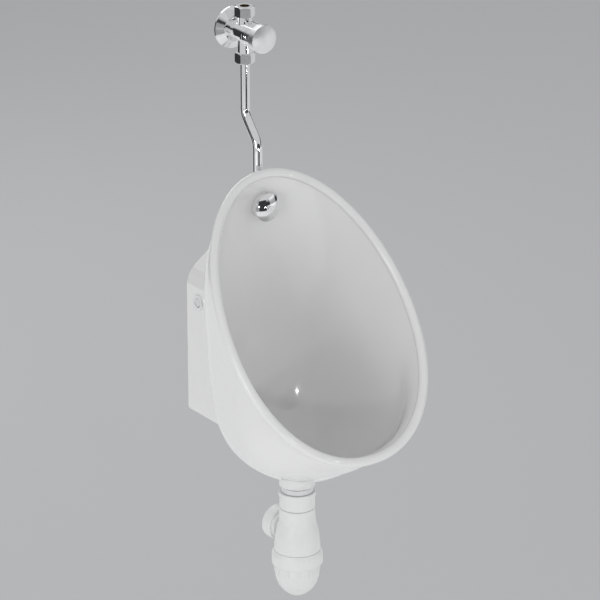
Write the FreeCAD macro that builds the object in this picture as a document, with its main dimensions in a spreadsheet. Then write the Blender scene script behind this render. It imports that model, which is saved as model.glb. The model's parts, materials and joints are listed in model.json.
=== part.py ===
"""A wall hung bowl urinal with an exposed push valve, its flush pipe and a bottle trap.

Frame: X = 0 is the plane of symmetry, Y = 0 is the wall (the object stands on its -Y side) and
Z = 0 is the level of the two wall screws. Millimetres, +Z up.
"""
import FreeCAD
import Part
import Sketcher
import math
import operator
import os
from types import SimpleNamespace

V = FreeCAD.Vector

# ---------------------------------------------------------------- driving sizes
SIZES = {
    # egg-shaped rim, in a leaning plane
    "rim_depth": 230,            # wall to the middle of the rim
    "rim_height": 18,            # wall screws up to the middle of the rim
    "rim_reach": 145.5,          # middle of the rim forward to its lowest point
    "rim_rise": 194,             # middle of the rim up to its highest point
    "rim_half_width": 171.1,
    "rim_widest": 17.9,          # widest place below the middle, along the rim's plane
    "rim_top_power": 2.0,        # superellipse power of the upper end of the egg
    "rim_front_power": 2.13,     # and of its lower end
    "rim_roll_radius": 7.6,
    "bowl_wall": 9.5,
    # six sections of the bowl between the rim's plane and the throat
    "crown_angle": 44, "crown_back": 65, "crown_half_width": 165.5, "crown_widest": 228,
    "shoulder_angle": 34, "shoulder_back": 55, "shoulder_half_width": 157.5, "shoulder_widest": 236,
    "waist_angle": 24, "waist_back": 52, "waist_half_width": 147, "waist_widest": 232,
    "hip_angle": 15, "hip_back": 57, "hip_half_width": 127, "hip_widest": 206,
    "belly_angle": 8, "belly_back": 76, "belly_half_width": 97.5, "belly_widest": 174,
    "funnel_angle": 3, "funnel_back": 112, "funnel_half_width": 62, "funnel_widest": 176,
    "bowl_back_power": 2.5,
    "bowl_front_power": 2.1,
    "belly_bulge": 9.5,          # swell of the underside below a straight line
    # outlet of the bowl
    "outlet_depth": 176,         # wall to the axis of waste and trap
    "throat_height": -270,
    "throat_radius": 36,
    "outlet_height": -291.5,     # flat underside of the ceramic
    "outlet_face_radius": 29.5,
    "outlet_bore_radius": 24.4,
    "waste_seat_height": -266,
    "waste_seat_radius": 31,
    # hollow block between bowl and wall
    "block_half_width": 94,
    "block_bottom": -200,
    "block_top": 95,
    "block_shoulder": 39.5,      # height where side and slope would meet
    "block_top_half": 20,
    "block_shoulder_radius": 43,
    "block_top_radius": 18,
    "block_foot_radius": 10,
    "block_wall": 9,
    "block_reach": 120,
    "block_edge_radius": 3,
    # water inlet behind the top of the bowl
    "pipe_depth": 68.5,          # wall to the axis of the inlet and the lower pipe
    "inlet_boss_radius": 17,
    "inlet_boss_top": 196,
    "inlet_mouth_radius": 11.5,
    "inlet_mouth_length": 26,
    "inlet_passage_radius": 8,
    "spreader_cover": 2,         # inlet mouth down to the bore of the spreader
    "spreader_pad_depth": 92,    # wall to the seat of the spreader
    "spreader_pad_radius": 21,
    "spreader_bore_radius": 9,
    "spreader_radius": 23.2,
    "spreader_rise": 6.5,
    "spreader_edge": 1.6,
    "spreader_gap": 2.0,
    "spreader_wall": 1.5,
    "spreader_hub_radius": 5,
    "spreader_screw_radius": 2,
    "spreader_head_radius": 4.2,
    "spreader_head_height": 1.3,
    "spreader_tube_radius": 7.4,
    "spreader_tube_bore": 5.8,
    "spreader_tube_length": 16,
    "spoke_width": 2.4,
    # flush pipe
    "pipe_radius": 7.5,
    "pipe_wall": 0.9,
    "pipe_bend_radius": 30,
    "pipe_bend_angle": 40,
    "pipe_bend_height": 278.5,   # middle of the double bend
    "pipe_insert": 22,           # length of pipe in the grommet
    "grommet_lip_radius": 10.2,
    "grommet_lip": 3,
    # push valve; lengths along it are counted from the wall
    "valve_height": 434.2,
    "valve_depth": 34.5,         # wall to the axis of its two pipe ends
    "barrel_radius": 17,
    "barrel_front": 50,
    "barrel_collar_radius": 20.5,
    "barrel_collar_length": 4,
    "chamber_start": 20,
    "chamber_radius": 10,
    "seat_bore_radius": 12,
    "seat_thickness": 3,
    "seat_hole_radius": 5.5,
    "stud_radius": 8,
    "stud_length": 12,
    "plate_radius": 29,
    "plate_thickness": 3,
    "plate_hole_spacing": 46,
    "plate_hole_radius": 2.4,
    "flange_radius": 34.3,
    "flange_rim": 2.7,
    "flange_front_radius": 21.5,
    "flange_front": 11.5,
    "flange_wall": 1.2,
    "end_neck_radius": 11.6,     # collars under the two pipe nuts
    "inlet_neck": 25.3,          # valve axis to the shoulder under the upper nut
    "outlet_neck": 33.7,         # and under the lower nut
    "thread_radius": 10.6,
    "thread_length": 7.8,
    "pipe_socket_depth": 12,
    "gallery_radius": 3.6,
    "olive_length": 5.5,
    "olive_radius": 9.6,
    "pipe_nut_flats": 28,
    "pipe_nut_height": 17,
    "pipe_nut_chamfer": 2.2,
    # cartridge with its slow return piston
    "bonnet_radius": 20,
    "bonnet_length": 19,
    "bonnet_wall": 7,
    "bonnet_groove": 1.2,
    "dashpot_radius": 9.5,
    "spindle_radius": 3,
    "spindle_foot_radius": 8.3,
    "spindle_foot": 2,
    "washer_thickness": 3,
    "piston_radius": 9,
    "piston_length": 3,
    "piston_from_seat": 25,
    "piston_seal_length": 2,
    "button_radius": 22.6,
    "button_wall": 1.4,
    "button_skirt": 12,
    "button_dome": 3.2,
    "button_hub_radius": 5.5,
    "spring_radius": 7.6,
    "spring_wire": 1.1,
    "spring_turns": 4,
    # waste fitting
    "tail_radius": 23.9,
    "tail_wall": 3,
    "tail_length": 52,
    "waste_flange_radius": 30.4,
    "waste_flange": 3,
    "grate_rise": 5,
    "grate_wall": 1.6,
    "grate_slot_radius": 1.9,
    "grate_ring_radius": 12,
    "grate_holes": 8,
    "waste_screw_radius": 2.5,
    "outlet_washer": 2,
    "back_nut_radius": 27.25,
    "back_nut_height": 8.5,
    "back_nut_rib": 1.6,
    "back_nut_rib_depth": 1.6,
    "back_nut_ribs": 24,
    # bottle trap
    "trap_nut_top": -303,
    "trap_nut_radius": 28.9,
    "trap_nut_bead": 1.5,
    "trap_nut_bead_height": 7,
    "trap_nut_height": 28.3,
    "trap_washer": 3,
    "dip_radius": 20.3,
    "dip_wall": 2,
    "dip_flange": 4.5,
    "dip_end": -452,
    "trap_seam": 1,
    "body_nut_height": 25,
    "body_nut_foot_radius": 30.2,
    "body_thread_radius": 25.5,
    "body_seal": 6,
    "nut_shoulder": 5.7,
    "trap_wall": 3,
    "bottle_radius": 37.6,
    "bottle_swell_radius": 165,
    "bottle_bottom": -406.5,
    "cup_thread_radius": 35.5,
    "cup_thread_length": 13.5,
    "cup_lip_gap": 0.5,
    "cup_collar_radius": 41.6,
    "cup_collar_height": 24,
    "cup_collar_chamfer": 7,
    "cup_neck_radius": 36.5,
    "cup_ledge_radius": 33,
    "cup_seal": 2,
    "cup_bottom": -490,
    "cup_nose_radius": 27,
    "cup_wall": 2.6,
    "cup_ribs": 12,
    "cup_rib_depth": 2.2,
    "cup_rib_sink": 0.8,         # part of that depth inside the cup's wall
    "cup_rib_width": 3.4,
    "cup_rib_length": 15,
    "outlet_pipe_height": -379,
    "waste_socket_radius": 21.7,
    "waste_socket_depth": 18,
    "waste_branch_reach": 60,    # axis of the bottle to the outer end of the waste nut
    "waste_nut_length": 21.5,
    "waste_nut_radius": 29.3,
    "waste_thread_radius": 24.7,
    "waste_seal_length": 5,
    "waste_passage_radius": 17,
    # wall brackets and side screws
    "screw_spacing": 128,
    "screw_hole_radius": 4.5,
    "bracket_thickness": 3,
    "bracket_half_height": 17,
    "bracket_length": 52,
    "side_screw_depth": 37,      # wall to the axis of the side screws
    "side_hole_radius": 8,
    "side_screw_radius": 4,
    "side_screw_length": 24,
    "side_head_radius": 7.2,
    "side_head_height": 1.6,
    "side_ring_radius": 12.8,
    "side_ring_height": 3,
    "side_ring_hole": 8.4,
    "weld_nut_radius": 7,
    "weld_nut_length": 6.5,
    # clearances
    "seat_gap": 0.05,
    "running_gap": 0.06,
    "skin_gap": 0.3,
}

OUTLINE_POINTS = 24              # points round one section of the bowl
BEAD_POINTS = 8                  # and round the bead of its rim
CORNERS_TO_FLATS = 2 / math.sqrt(3)


# ---------------------------------------------------------------- sizes with their expressions
OPERATIONS = {"+": operator.add, "-": operator.sub, "*": operator.mul, "/": operator.truediv}


class Size:
    """A length that knows its value and the expression of the sheet that gives it."""

    def __init__(self, value, text):
        self.value = float(value)
        self.text = text

    def join(self, sign, other, swap=False):
        other = as_size(other)
        first, second = (other, self) if swap else (self, other)
        value = OPERATIONS[sign](first.value, second.value)
        return Size(value, "(%s %s %s)" % (first.text, sign, second.text))

    def __add__(self, other):
        return self.join("+", other)

    def __radd__(self, other):
        return self.join("+", other, True)

    def __sub__(self, other):
        return self.join("-", other)

    def __rsub__(self, other):
        return self.join("-", other, True)

    def __mul__(self, other):
        return self.join("*", other)

    def __rmul__(self, other):
        return self.join("*", other, True)

    def __truediv__(self, other):
        return self.join("/", other)

    def __rtruediv__(self, other):
        return self.join("/", other, True)

    def __neg__(self):
        return Size(0, "0").join("-", self)


def as_size(number):
    return number if isinstance(number, Size) else Size(number, repr(number))


def make_sheet(doc):
    """Writes the driving sizes as the rows of one sheet and gives them back by name."""
    sheet = doc.addObject("Spreadsheet::Sheet", "Sizes")
    for row, (name, value) in enumerate(SIZES.items(), 1):
        sheet.set("A%d" % row, name)
        sheet.set("B%d" % row, str(value))
        sheet.setAlias("B%d" % row, name)
    doc.recompute()
    return SimpleNamespace(**{name: Size(sheet.get(name), "Sizes." + name) for name in SIZES})


doc = FreeCAD.newDocument("Urinal")
S = make_sheet(doc)

UPRIGHT = FreeCAD.Rotation()
TO_FRONT = FreeCAD.Rotation(V(1, 0, 0), 90)      # local Z points away from the wall
TO_WALL = FreeCAD.Rotation(V(1, 0, 0), -90)      # local Z points at the wall
TO_RIGHT = FreeCAD.Rotation(V(0, 1, 0), 90)      # local Z points to +X


# ---------------------------------------------------------------- building blocks
def bind(item, **sizes):
    for name, size in sizes.items():
        size = as_size(size)
        setattr(item, name, size.value)
        item.setExpression(name, size.text)


def place(item, x=0, y=0, z=0, turn=UPRIGHT):
    where = [as_size(size) for size in (x, y, z)]
    item.Placement = FreeCAD.Placement(V(*[size.value for size in where]), turn)
    for axis, size in zip("xyz", where):
        item.setExpression(".Placement.Base." + axis, size.text)
    return item


def cylinder(name, radius, height, **where):
    item = doc.addObject("Part::Cylinder", name)
    bind(item, Radius=radius, Height=height)
    return place(item, **where)


def box(name, length, width, height, **where):
    item = doc.addObject("Part::Box", name)
    bind(item, Length=length, Width=width, Height=height)
    return place(item, **where)


def hexagon(name, flats, height, **where):
    """Six-sided bar with two of its flats facing +X and -X."""
    item = doc.addObject("Part::Prism", name)
    item.Polygon = 6
    bind(item, Circumradius=flats / 2 * CORNERS_TO_FLATS, Height=height)
    place(item, **where)
    item.Placement.Rotation = FreeCAD.Rotation(V(0, 0, 1), 30)
    return item


def fuse(name, *parts):
    item = doc.addObject("Part::MultiFuse", name)
    item.Shapes = list(parts)
    return item


def cut(name, base, *tools):
    """Takes the tools out of the base one after the other."""
    for number, tool in enumerate(tools, 1):
        last = number == len(tools)
        item = doc.addObject("Part::Cut", name if last else "%s_step_%d" % (name, number))
        item.Base = base
        item.Tool = tool
        base = item
    return base


def common(name, first, second):
    item = doc.addObject("Part::Common", name)
    item.Base = first
    item.Tool = second
    return item


def group(name, *parts):
    item = doc.addObject("Part::Compound", name)
    item.Links = list(parts)
    return item


def ring_of(name, count, make, x=0, y=0, z=0):
    """Copies of one small solid, evenly spaced on a circle about local Z."""
    copies = []
    for number in range(count):
        angle = 2 * math.pi * number / count
        item = make("%s_%d" % (name, number))
        place(item, x * math.cos(angle) - y * math.sin(angle),
              x * math.sin(angle) + y * math.cos(angle), z,
              FreeCAD.Rotation(V(0, 0, 1), math.degrees(angle)))
        copies.append(item)
    return copies


def plane_of(body, role):
    return next(item for item in body.Origin.OriginFeatures if item.Role == role)


def new_sketch(body, role):
    sketch = body.newObject("Sketcher::SketchObject", body.Name + "_sketch")
    sketch.AttachmentSupport = [(plane_of(body, role), "")]
    sketch.MapMode = "FlatFace"
    return sketch


def arc_between(start, end, radius):
    """Short arc from start to end, with the middle on the left when radius is positive."""
    chord = end - start
    left = V(-chord.y, chord.x, 0).normalize()
    reach = math.sqrt(radius ** 2 - (chord.Length / 2) ** 2)
    middle = start + chord * 0.5 + left * math.copysign(reach, radius)
    first, last = (start, end) if radius > 0 else (end, start)
    angles = [math.atan2(point.y - middle.y, point.x - middle.x) for point in (first, last)]
    return Part.ArcOfCircle(Part.Circle(middle, V(0, 0, 1), abs(radius)), *angles)


def draw(sketch, outline):
    """Closed outline of corners (x, y) or (x, y, radius of the arc to the next corner)."""
    corners = [(as_size(corner[0]), as_size(corner[1])) for corner in outline]
    radii = [as_size(corner[2]) if len(corner) > 2 else None for corner in outline]
    points = [V(x.value, y.value, 0) for x, y in corners]
    count = len(points)
    shapes = []
    rules = []
    texts = []
    for number, (start, radius) in enumerate(zip(points, radii)):
        end = points[(number + 1) % count]
        if radius:
            shapes.append(arc_between(start, end, radius.value))
        else:
            shapes.append(Part.LineSegment(start, end))
    flipped = [bool(radius) and radius.value < 0 for radius in radii]

    def add(rule, text=None):
        rules.append(rule)
        texts.append(text)

    for number, ((x, y), radius) in enumerate(zip(corners, radii)):
        following = (number + 1) % count
        begin = 2 if flipped[number] else 1
        add(Sketcher.Constraint("Coincident", number, 3 - begin,
                                following, 2 if flipped[following] else 1))
        for size, kind, axis in ((x, "DistanceX", -2), (y, "DistanceY", -1)):
            if abs(size.value) < 1e-9:
                add(Sketcher.Constraint("PointOnObject", number, begin, axis))
            else:
                add(Sketcher.Constraint(kind, -1, 1, number, begin, size.value), size.text)
        if radius:
            text = radius.text if radius.value > 0 else (-radius).text
            add(Sketcher.Constraint("Radius", number, abs(radius.value)), text)
    sketch.addGeometry(shapes)
    sketch.addConstraint(rules)
    for number, text in enumerate(texts):
        if text:
            sketch.setExpression("Constraints[%d]" % number, text)


def turned(name, outline, **where):
    """Body of revolution about local Z from an outline of (radius, height) corners."""
    body = doc.addObject("PartDesign::Body", name)
    sketch = new_sketch(body, "XZ_Plane")
    draw(sketch, outline)
    spin = body.newObject("PartDesign::Revolution", name + "_turning")
    spin.Profile = sketch
    spin.ReferenceAxis = (sketch, ["V_Axis"])
    spin.Angle = 360
    body.Tip = spin
    return place(body, **where)


def tube(name, outer, inner, start, end, **where):
    """Plain ring between two radii and two heights."""
    corners = [(inner, start), (outer, start), (outer, end), (inner, end)]
    return turned(name, corners, **where)


# ---------------------------------------------------------------- ceramic bowl
BOWL_SECTIONS = ("crown", "shoulder", "waist", "hip", "belly", "funnel")


def closed_curve(points):
    """Smooth closed curve through points that stand for equal steps along it."""
    curve = Part.BSplineCurve()
    curve.interpolate(Points=points, PeriodicFlag=True,
                      Parameters=[float(number) for number in range(len(points) + 1)])
    return curve


class BowlForm:
    """Egg-shaped sections in planes that all hold one line, level with the throat.

    The first plane is the leaning plane of the rim and the last one the level plane of the
    throat. Distances in a plane are counted from the shared line.
    """

    def __init__(self):
        self.lean = math.atan2(S.rim_rise.value, S.rim_reach.value)
        self.slant = math.hypot(S.rim_rise.value, S.rim_reach.value)
        self.normal = V(0, -math.sin(self.lean), math.cos(self.lean))
        drop = (S.rim_height.value - S.throat_height.value) / S.rim_rise.value
        self.centre = self.slant * drop
        self.line_y = -S.rim_depth.value - S.rim_reach.value * drop
        self.line_z = S.throat_height.value
        self.lip = V(0, -S.rim_depth.value - S.rim_reach.value,
                     S.rim_height.value - S.rim_rise.value)
        self.heel = V(0, -S.outlet_depth.value - S.throat_radius.value, self.line_z)
        self.underside = math.atan2(self.lip.z - self.heel.z, self.heel.y - self.lip.y)

    def egg(self, angle, back, widest, front, half_width, powers):
        """Points round a smooth section in the plane at this angle, from its back."""
        points = []
        for number in range(OUTLINE_POINTS):
            turn = 2 * math.pi * number / OUTLINE_POINTS
            across, ahead = math.sin(turn), math.cos(turn)
            near_back = ahead > 1e-9
            reach = back - widest if near_back else widest - front
            exponent = powers[0 if near_back else 1]
            scale = (abs(across) ** exponent + abs(ahead) ** exponent) ** (-1 / exponent)
            along = widest + reach * ahead * scale
            points.append(V(half_width * across * scale,
                            self.line_y + along * math.cos(angle),
                            self.line_z + along * math.sin(angle)))
        return points

    def rim(self, offset):
        """Points along the rim, moved outwards by an offset."""
        powers = (S.rim_top_power.value, S.rim_front_power.value)
        return self.egg(self.lean, self.centre + self.slant + offset,
                        self.centre - S.rim_widest.value,
                        self.centre - self.slant - offset,
                        S.rim_half_width.value + offset, powers)

    def front(self, angle):
        """Distance to the underside, a straight slope from lip to throat with a swell."""
        slope = self.heel - self.lip
        y = self.lip.y - self.line_y
        z = self.lip.z - self.line_z
        turn = math.cos(angle) * slope.z - math.sin(angle) * slope.y
        share = (y * math.sin(angle) - z * math.cos(angle)) / turn
        reach = (y + share * slope.y) * math.cos(angle) + (z + share * slope.z) * math.sin(angle)
        swell = S.belly_bulge.value * 6.75 * share ** 2 * (1 - share)
        return reach - swell / math.sin(angle + self.underside)

    def section(self, name, wall):
        """One named section of the outer form, or of the inner one for a wall above zero."""
        angle, back, half_width, widest = [
            getattr(S, name + "_" + word).value for word in ("angle", "back", "half_width", "widest")]
        angle = math.radians(angle)
        inwards = wall / math.sin(angle + self.underside)
        behind = max(inwards, wall / math.cos(angle))
        powers = (S.bowl_back_power.value, S.bowl_front_power.value)
        return self.egg(angle, (-back - self.line_y) / math.cos(angle) - behind,
                        (-widest - self.line_y) / math.cos(angle),
                        self.front(angle) + inwards, half_width - wall, powers)

    def circle(self, radius, height):
        middle = -S.outlet_depth.value - self.line_y
        level = self.egg(0, middle + radius, middle, middle - radius, radius, (2, 2))
        return [point + V(0, 0, height - self.line_z) for point in level]

    def loft(self, rings):
        """Solid through the right halves of the rings, closed a little past X = 0."""
        wires = []
        first, last = 0.5, OUTLINE_POINTS / 2 + 1.5
        for ring in rings:
            curve = closed_curve(ring[-1:] + ring[:-1])
            closing = Part.makeLine(curve.value(last), curve.value(first))
            wires.append(Part.Wire([curve.toShape(first, last), closing]))
        return Part.makeLoft(wires, True, False)

    def outside(self):
        rings = [self.rim(S.bowl_wall.value / 2)]
        rings += [self.section(name, 0) for name in BOWL_SECTIONS]
        rings.append(self.circle(S.throat_radius.value, S.throat_height.value))
        rings.append(self.circle(S.outlet_face_radius.value, S.outlet_height.value))
        return self.loft(rings)

    def inside(self, wall):
        """Form that lies this far inside the outer one and runs out through the mouth."""
        rings = [self.rim(S.bowl_wall.value / 2 - wall)]
        rings += [self.section(name, wall) for name in BOWL_SECTIONS]
        share = wall / S.bowl_wall.value
        radius = S.throat_radius.value * (1 - share) + S.waste_seat_radius.value * share
        height = S.throat_height.value * (1 - share) + S.waste_seat_height.value * share
        rings.append(self.circle(radius, height))
        return self.loft([self.beyond(*rings[:2])] + rings)

    def beyond(self, rim, crown):
        """Section a little outside the rim's plane, straight on from the two below it."""
        angle = self.lean + 0.1 * (self.lean - math.radians(S.crown_angle.value))
        ring = []
        for upper, lower in zip(rim, crown):
            reach, last = [math.hypot(point.y - self.line_y, point.z - self.line_z)
                           for point in (upper, lower)]
            reach += 0.1 * (reach - last)
            ring.append(V(upper.x + 0.1 * (upper.x - lower.x),
                          self.line_y + reach * math.cos(angle),
                          self.line_z + reach * math.sin(angle)))
        return ring

    def roll(self):
        """Round bead along the right half of the rim, a little past the plane of symmetry."""
        spine = closed_curve(self.rim(0))
        radius = S.rim_roll_radius.value
        turns = [2 * math.pi * step / BEAD_POINTS for step in range(BEAD_POINTS)]
        wires = []
        for number in range(-1, OUTLINE_POINTS // 2 + 2):
            number %= OUTLINE_POINTS
            outward = spine.tangent(number)[0].cross(self.normal)
            ring = [spine.value(number) + (outward * math.cos(turn) + self.normal * math.sin(turn))
                    * radius for turn in turns]
            wires.append(Part.Wire(closed_curve(ring).toShape()))
        return Part.makeLoft(wires, True, False)


def form(name, shape):
    item = doc.addObject("Part::Feature", name)
    item.Shape = shape
    return item


def both_halves(half):
    """One solid from the right half and its mirror image, sewn along X = 0."""
    right = [face for face in half.Faces
             if max(abs(face.BoundBox.XMin), abs(face.BoundBox.XMax)) > 0.01]
    left = [face.mirror(V(0, 0, 0), V(1, 0, 0)) for face in right]
    skin = Part.Compound(right + left)
    skin.sewShape(0.001)
    solid = Part.Solid(skin if skin.ShapeType == "Shell" else skin.Shells[0])
    solid.fix(0.001, 0.001, 0.001)
    return solid


def block_outline(inset):
    """Corners of the block seen from the front: upright sides, sloping shoulders, flat top."""
    side = S.block_half_width - inset
    top = S.block_top_half - inset / 3
    return [(-side, S.block_bottom + inset), (side, S.block_bottom + inset),
            (side, S.block_shoulder - inset / 2), (top, S.block_top - inset),
            (-top, S.block_top - inset), (-side, S.block_shoulder - inset / 2)]


def round_corners(body, base, name, corners, radius):
    """Rounds the edges of a pad that run along Y through the given corners."""
    doc.recompute()
    wanted = [(x.value, z.value) for x, z in corners]
    edges = []
    for number, edge in enumerate(base.Shape.Edges, 1):
        ends = [vertex.Point for vertex in edge.Vertexes]
        along = len(ends) == 2 and abs(ends[0].y - ends[1].y) > 1
        for x, z in wanted:
            if along and all(math.hypot(end.x - x, end.z - z) < 0.01 for end in ends):
                edges.append("Edge%d" % number)
    item = body.newObject("PartDesign::Fillet", name)
    item.Base = (base, edges)
    bind(item, Radius=radius)
    body.Tip = item
    return item


def block(name, inset, reach, radii):
    """Pad of the block's outline, rounded, with the last of its roundings."""
    body = doc.addObject("PartDesign::Body", name)
    sketch = new_sketch(body, "XZ_Plane")
    outline = block_outline(as_size(inset))
    draw(sketch, outline)
    pad = body.newObject("PartDesign::Pad", name + "_pad")
    pad.Profile = sketch
    bind(pad, Length=reach)
    body.Tip = pad
    last = pad
    pairs = (outline[0:2], (outline[2], outline[5]), outline[3:5])
    for number, (corners, radius) in enumerate(zip(pairs, radii)):
        last = round_corners(body, last, "%s_round_%d" % (name, number), corners, radius)
    return body, last


def block_outside():
    body, last = block("block_outside", 0, S.block_reach,
                       (S.block_foot_radius, S.block_shoulder_radius, S.block_top_radius))
    doc.recompute()
    edges = ["Edge%d" % number for number, edge in enumerate(last.Shape.Edges, 1)
             if all(abs(vertex.Point.y) < 0.01 for vertex in edge.Vertexes)]
    soft = body.newObject("PartDesign::Fillet", "block_outside_back_edge")
    soft.Base = (last, edges)
    bind(soft, Radius=S.block_edge_radius)
    body.Tip = soft
    return body


def block_inside():
    wall = S.block_wall
    radii = (S.block_foot_radius / 4, S.block_shoulder_radius - wall, S.block_top_radius / 2)
    return block("block_inside", wall, S.block_reach - wall, radii)[0]


def spreader_height():
    """Axis of the spreader, just below the mouth that takes the flush pipe."""
    return (S.inlet_boss_top - S.inlet_mouth_length - S.spreader_bore_radius
            - S.spreader_cover)


def ceramic_bowl():
    bowl = BowlForm()
    depth = -S.pipe_depth
    wall = S.bowl_wall.value
    shell = cut("block_shell", block_outside(), block_inside())
    foot = S.block_top - S.block_wall
    boss = cylinder("inlet_boss", S.inlet_boss_radius, S.inlet_boss_top - foot, y=depth, z=foot)
    side = box("right_side", 300, 500, 600, y=-450, z=-320)
    behind = cut("ceramic_behind", fuse("ceramic_block", shell, boss),
                 form("bowl_middle", bowl.inside(wall / 2)))
    pad = cylinder("spreader_pad", S.spreader_pad_radius, S.bowl_wall * 3,
                   y=S.bowl_wall * 3 - S.spreader_pad_depth, z=spreader_height(), turn=TO_FRONT)
    hollow = cut("bowl_hollow", form("bowl_inside", bowl.inside(wall)), pad)
    body = cut("bowl_shell", form("bowl_outside", bowl.outside()), hollow)
    halves = [common("right_" + item.Name, item, side)
              for item in (body, behind, form("rim_roll", bowl.roll()))]
    right = fuse("ceramic_right", *halves)
    mouth = S.inlet_boss_top - S.inlet_mouth_length
    outlet = -S.outlet_depth
    tools = [
        cylinder("inlet_mouth", S.inlet_mouth_radius, S.inlet_mouth_length + 1, y=depth, z=mouth),
        cylinder("inlet_passage", S.inlet_passage_radius,
                 mouth - spreader_height() + S.inlet_passage_radius + 1,
                 y=depth, z=spreader_height() - S.inlet_passage_radius),
        cylinder("spreader_bore", S.spreader_bore_radius, S.spreader_pad_depth - S.pipe_depth + 1,
                 y=depth, z=spreader_height(), turn=TO_FRONT),
        cylinder("outlet_bore", S.outlet_bore_radius, S.waste_seat_height - S.outlet_height + 2,
                 y=outlet, z=S.outlet_height - 1),
        cylinder("side_hole", S.side_hole_radius, S.block_wall + 20,
                 x=S.block_half_width - S.block_wall - 10, y=-S.side_screw_depth, turn=TO_RIGHT),
    ]
    half = cut("ceramic_right_side", right, *tools)
    doc.recompute()
    return form("ceramic_bowl", both_halves(half.Shape))


# ---------------------------------------------------------------- water spreader
def spreader_parts():
    """Dome, screw, spoked insert and its rubber sleeve, along one axis out of the back wall."""
    seat = {"y": -S.spreader_pad_depth, "z": spreader_height(), "turn": TO_FRONT}
    lip = S.spreader_wall
    edge = lip + S.spreader_gap
    top = edge + S.spreader_edge + S.spreader_rise
    hole = S.spreader_screw_radius + S.seat_gap
    bend = (S.spreader_radius * S.spreader_radius / S.spreader_rise + S.spreader_rise) / 2
    flat = top - S.spreader_wall
    dome = turned("spreader_dome", [
        (hole, flat), (S.spreader_head_radius + 1, flat),
        (S.spreader_radius - S.spreader_wall, edge), (S.spreader_radius, edge),
        (S.spreader_radius, edge + S.spreader_edge, bend),
        (S.spreader_head_radius + 1, top), (hole, top)], **seat)
    head = turned("spreader_screw_turned", [
        (0, -S.spreader_tube_length / 2), (S.spreader_screw_radius, -S.spreader_tube_length / 2),
        (S.spreader_screw_radius, top), (S.spreader_head_radius, top),
        (S.spreader_head_radius, top + S.spreader_head_height),
        (0, top + S.spreader_head_height)])
    slot = box("spreader_slot", S.spreader_screw_radius / 2, S.spreader_head_radius * 3,
               S.spreader_head_height, x=-S.spreader_screw_radius / 4,
               y=-S.spreader_head_radius * 1.5, z=top + S.spreader_head_height * 0.45)
    screw = place(cut("spreader_screw", head, slot), **seat)
    ring = tube("insert_ring", S.spreader_tube_radius, S.spreader_tube_bore,
                -S.spreader_tube_length, lip)
    flange = tube("insert_flange", S.spreader_bore_radius + 3, S.spreader_tube_bore, 0, lip)
    hub = cylinder("insert_hub", S.spreader_hub_radius, flat - S.spreader_gap / 4,
                   z=0)
    reach = S.spreader_tube_bore + 0.5
    spokes = ring_of("insert_spoke", 4, lambda name: box(name, reach, S.spoke_width, lip * 2),
                     y=-S.spoke_width / 2, z=-lip)
    thread = cylinder("insert_thread", S.spreader_screw_radius + S.seat_gap, 60, z=-30)
    insert = place(cut("spreader_insert", fuse("insert_solid", ring, flange, hub, *spokes), thread),
                   **seat)
    seal = tube("spreader_seal", S.spreader_bore_radius - S.seat_gap,
                S.spreader_tube_radius + S.seat_gap, -S.spreader_tube_length + 4,
                -S.seat_gap, **seat)
    return [dome, screw, insert, seal]


# ---------------------------------------------------------------- flush pipe
def flush_pipe():
    """Straight drop from the valve, a double bend towards the bowl, and a drop into the inlet."""
    top = S.valve_height - S.outlet_neck - S.thread_length + S.pipe_socket_depth - S.skin_gap
    bottom = S.inlet_boss_top - S.pipe_insert
    radius = S.pipe_bend_radius.value
    angle = math.radians(S.pipe_bend_angle.value)
    offset = S.pipe_depth.value - S.valve_depth.value
    slope = (offset - 2 * radius * (1 - math.cos(angle))) / math.sin(angle)
    rise = 2 * radius * math.sin(angle) + slope * math.cos(angle)
    start = S.pipe_bend_height.value + rise / 2 - top.value
    end = start - rise
    turn = V(0, -radius * (1 - math.cos(angle)), -radius * math.sin(angle))
    middle = V(0, -radius * (1 - math.cos(angle / 2)), -radius * math.sin(angle / 2))
    first = V(0, 0, start)
    last = V(0, -offset, end)
    lines = [
        Part.makeLine(V(0, 0, 0), first),
        Part.Arc(first, first + middle, first + turn).toShape(),
        Part.makeLine(first + turn, last - turn),
        Part.Arc(last - turn, last - middle, last).toShape(),
        Part.makeLine(last, V(0, -offset, bottom.value - top.value)),
    ]
    rings = [Part.Wire(Part.makeCircle(size.value)) for size in
             (S.pipe_radius, S.pipe_radius - S.pipe_wall)]
    outer, inner = [Part.Wire(lines).makePipeShell([ring], True, False) for ring in rings]
    return place(form("flush_pipe", outer.cut(inner)), y=-S.valve_depth, z=top)


def inlet_grommet():
    """Rubber sleeve with a lip that seals the pipe in the mouth of the bowl's inlet."""
    inside = S.pipe_radius + S.seat_gap
    outside = S.inlet_mouth_radius - S.seat_gap
    foot = -S.inlet_mouth_length + S.skin_gap
    stop = -S.pipe_insert - S.skin_gap
    return turned("inlet_grommet", [
        (inside - 1.5, foot), (outside, foot), (outside, 0), (S.grommet_lip_radius, 0),
        (inside + 1, S.grommet_lip), (inside, S.grommet_lip), (inside, stop),
        (inside - 1.5, stop)], y=-S.pipe_depth, z=S.inlet_boss_top)


# ---------------------------------------------------------------- push valve
def valve_stations():
    """Distances from the wall of the places that the valve's pieces share."""
    seat = S.valve_depth - S.seat_thickness / 2
    aside = S.seat_thickness / 2 + 0.5 + S.gallery_radius
    bonnet = S.barrel_front + S.barrel_collar_length
    front = bonnet + S.bonnet_length
    piston = seat + S.piston_from_seat
    skirt = front + 3
    face = skirt + S.button_skirt
    return SimpleNamespace(seat=seat, aside=aside, bonnet=bonnet, front=front, piston=piston,
                           skirt=skirt, face=face)


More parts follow.
